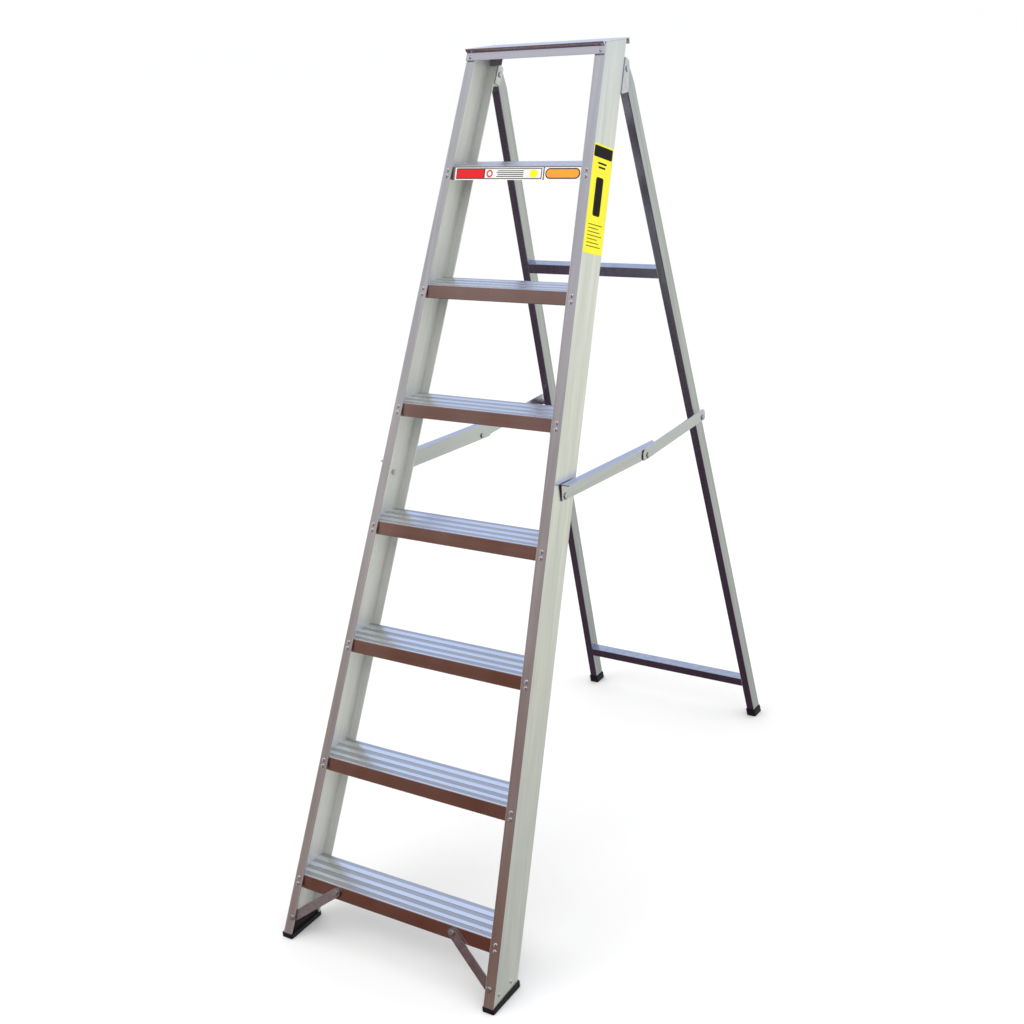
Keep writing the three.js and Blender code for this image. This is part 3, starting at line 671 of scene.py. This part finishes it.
label_patch("web_label", 2.5, 87, 1617, 1858, 1.5, 0, "yellow")
label_patch("web_label_header", 4.5, 85, 1829, 1854, 3, 1, "black")
for row, (low_x, high_x) in enumerate(LABEL_BARS):
    low_y = 1815 - LABEL_BAR_STEP * row
    high_y = low_y + LABEL_BAR_HEIGHT
    label_patch(f"web_label_bar_{row}", low_x, high_x, low_y, high_y, 1, 1, "black")
label_patch("web_label_block", 26, 58, 1700, 1786, 6, 1, "black")
for row in range(LABEL_LINES):
    high_x = 76 - LABEL_LINE_RAG * (row % 3)
    low_y = 1632 + LABEL_LINE_STEP * row
    high_y = low_y + LABEL_LINE_HEIGHT
    label_patch(f"web_label_line_{row}", 14, high_x, low_y, high_y, 0.6, 1, "black")


# ---- Studio ----

FLOOR_REACH = 60.0
FLOOR_TONES = ((0.955, 0.955, 0.955), (0.97, 0.97, 0.97))

# Colours of the surroundings by the height of the direction looked in, from -1 straight down to
# 1 straight up.
AHEAD = (
    (-1.0, (0.06, 0.035, 0.05)),
    (-0.45, (0.085, 0.05, 0.08)),
    (-0.3, (0.06, 0.03, 0.045)),
    (-0.05, (0.14, 0.04, 0.018)),
    (0.1, (0.15, 0.05, 0.028)),
    (0.25, (0.20, 0.115, 0.09)),
    (0.4, (0.26, 0.20, 0.20)),
    (0.5, (0.37, 0.35, 0.39)),
    (0.65, (0.50, 0.50, 0.57)),
    (1.0, (0.75, 0.80, 0.95)),
)
BEHIND = (
    (-1.0, (0.05, 0.03, 0.04)),
    (-0.85, (0.06, 0.035, 0.045)),
    (-0.68, (0.40, 0.41, 0.38)),
    (-0.6, (0.48, 0.50, 0.47)),
    (-0.45, (0.58, 0.59, 0.53)),
    (-0.3, (0.74, 0.75, 0.65)),
    (0.0, (0.88, 0.90, 0.77)),
    (0.05, (0.62, 0.67, 0.82)),
    (0.2, (0.50, 0.58, 0.82)),
    (0.4, (0.55, 0.68, 1.0)),
    (1.0, (0.75, 0.82, 1.0)),
)
FAR_LEFT = (
    (-1.0, (0.20, 0.20, 0.20)),
    (-0.1, (0.62, 0.63, 0.62)),
    (1.0, (0.80, 0.84, 0.90)),
)
PLAIN_STRENGTH = 1.05

LIGHT_SIZE = 2.6
LADDER_MIDDLE = (0, 0, 0.9)

CAMERA_YAW = math.radians(34.338)
CAMERA_PITCH = math.radians(-20.197)
CAMERA_ROLL = math.radians(-4.785)
CAMERA_X = 1.7555
CAMERA_AHEAD_OF_TOE = 1.9192
CAMERA_Z = 2.0019
CAMERA_LENS = 49.55


def make_floor():
    size = FLOOR_REACH
    bm = bmesh.new()
    corners = [(-size, -size), (size, -size), (size, size), (-size, size)]
    bm.faces.new([bm.verts.new((x, y, 0)) for x, y in corners])
    mesh = bpy.data.meshes.new("floor")
    bm.to_mesh(mesh)
    bm.free()
    floor = bpy.data.objects.new("floor", mesh)
    bpy.context.scene.collection.objects.link(floor)
    nodes = Nodes("floor_paint")
    mottle = nodes.noise(nodes.place(), 3.0, 4.0)
    nodes.link(nodes.blend(nodes.span(mottle, 0, 1), *FLOOR_TONES), nodes.shader.inputs["Base Color"])
    nodes.shader.inputs["Roughness"].default_value = 0.9
    nodes.shader.inputs["Specular IOR Level"].default_value = 0.1
    mesh.materials.append(nodes.material)
    floor.visible_glossy = False


def ramp(tree, source, stops):
    """The colours of the stops, by a height from -1 to 1."""
    node = tree.nodes.new("ShaderNodeValToRGB")
    elements = node.color_ramp.elements
    while len(elements) < len(stops):
        elements.new(0.5)
    for element, (height, colour) in zip(elements, stops):
        element.position = (height + 1) / 2
        element.color = (*colour, 1)
    shifted = tree.nodes.new("ShaderNodeMath")
    shifted.operation = "MULTIPLY_ADD"
    shifted.inputs[1].default_value = 0.5
    shifted.inputs[2].default_value = 0.5
    tree.links.new(source, shifted.inputs[0])
    tree.links.new(shifted.outputs["Value"], node.inputs["Fac"])
    return node.outputs["Color"]


def fade(tree, source, start, end, first, second):
    """From the first colour to the second as source goes from start to end."""
    step = tree.nodes.new("ShaderNodeMapRange")
    step.interpolation_type = "SMOOTHSTEP"
    step.inputs["From Min"].default_value = start
    step.inputs["From Max"].default_value = end
    tree.links.new(source, step.inputs["Value"])
    mix = tree.nodes.new("ShaderNodeMixRGB")
    tree.links.new(step.outputs["Result"], mix.inputs["Fac"])
    tree.links.new(first, mix.inputs["Color1"])
    tree.links.new(second, mix.inputs["Color2"])
    return mix.outputs["Color"]


def make_world():
    """An even white, except in reflections.

    Those show surroundings that are warm and dark low down in front, pale behind, even on the far
    left and blue-white overhead.
    """
    world = bpy.data.worlds.new("surroundings")
    bpy.context.scene.world = world
    world.use_nodes = True
    tree = world.node_tree
    coordinates = tree.nodes.new("ShaderNodeTexCoord")
    split = tree.nodes.new("ShaderNodeSeparateXYZ")
    tree.links.new(coordinates.outputs["Generated"], split.inputs["Vector"])
    height = split.outputs["Z"]
    ahead = ramp(tree, height, AHEAD)
    behind = ramp(tree, height, BEHIND)
    around = fade(tree, split.outputs["Y"], -0.35, 0.35, ahead, behind)
    far_left = ramp(tree, height, FAR_LEFT)
    around = fade(tree, split.outputs["X"], -0.65, -0.72, around, far_left)
    reflected = tree.nodes["Background"]
    tree.links.new(around, reflected.inputs["Color"])
    plain = tree.nodes.new("ShaderNodeBackground")
    plain.inputs["Color"].default_value = (1.0, 1.0, 1.0, 1)
    plain.inputs["Strength"].default_value = PLAIN_STRENGTH
    path = tree.nodes.new("ShaderNodeLightPath")
    choice = tree.nodes.new("ShaderNodeMixShader")
    tree.links.new(path.outputs["Is Glossy Ray"], choice.inputs["Fac"])
    tree.links.new(plain.outputs["Background"], choice.inputs[1])
    tree.links.new(reflected.outputs["Background"], choice.inputs[2])
    tree.links.new(choice.outputs["Shader"], tree.nodes["World Output"].inputs["Surface"])


def make_light(name, spot, power, colour):
    """A soft lamp aimed at the middle of the ladder and not seen in reflections."""
    data = bpy.data.lights.new(name, "AREA")
    data.size = LIGHT_SIZE
    data.energy = power
    data.color = colour
    light = bpy.data.objects.new(name, data)
    light.location = spot
    direction = Vector(LADDER_MIDDLE) - Vector(spot)
    light.rotation_euler = direction.to_track_quat("-Z", "Y").to_euler()
    light.visible_glossy = False
    bpy.context.scene.collection.objects.link(light)


def make_camera():
    """About 2 m up, in front and to the right, looking down and turned a little on its side."""
    flat = math.cos(CAMERA_PITCH)
    rise = math.sin(CAMERA_PITCH)
    ahead = Vector((-math.sin(CAMERA_YAW) * flat, math.cos(CAMERA_YAW) * flat, rise))
    level = ahead.cross(Vector((0, 0, 1))).normalized()
    above = level.cross(ahead)
    across = level * math.cos(CAMERA_ROLL) + above * math.sin(CAMERA_ROLL)
    upward = above * math.cos(CAMERA_ROLL) - level * math.sin(CAMERA_ROLL)
    data = bpy.data.cameras.new("camera")
    data.sensor_width = 36
    data.lens = CAMERA_LENS
    data.clip_end = 200
    camera = bpy.data.objects.new("camera", data)
    turn = Matrix((across, upward, -ahead)).transposed().to_4x4()
    spot = (CAMERA_X, TOE_Y - CAMERA_AHEAD_OF_TOE, CAMERA_Z)
    camera.matrix_world = Matrix.Translation(spot) @ turn
    bpy.context.scene.collection.objects.link(camera)
    bpy.context.scene.camera = camera


make_floor()
make_world()
make_light("key", (-1.6, -2.6, 4.2), 30, (1.0, 0.99, 0.97))
make_light("fill", (3.2, 1.0, 3.4), 18, (0.97, 0.98, 1.0))
make_camera()
bpy.context.scene.view_settings.view_transform = "Standard"
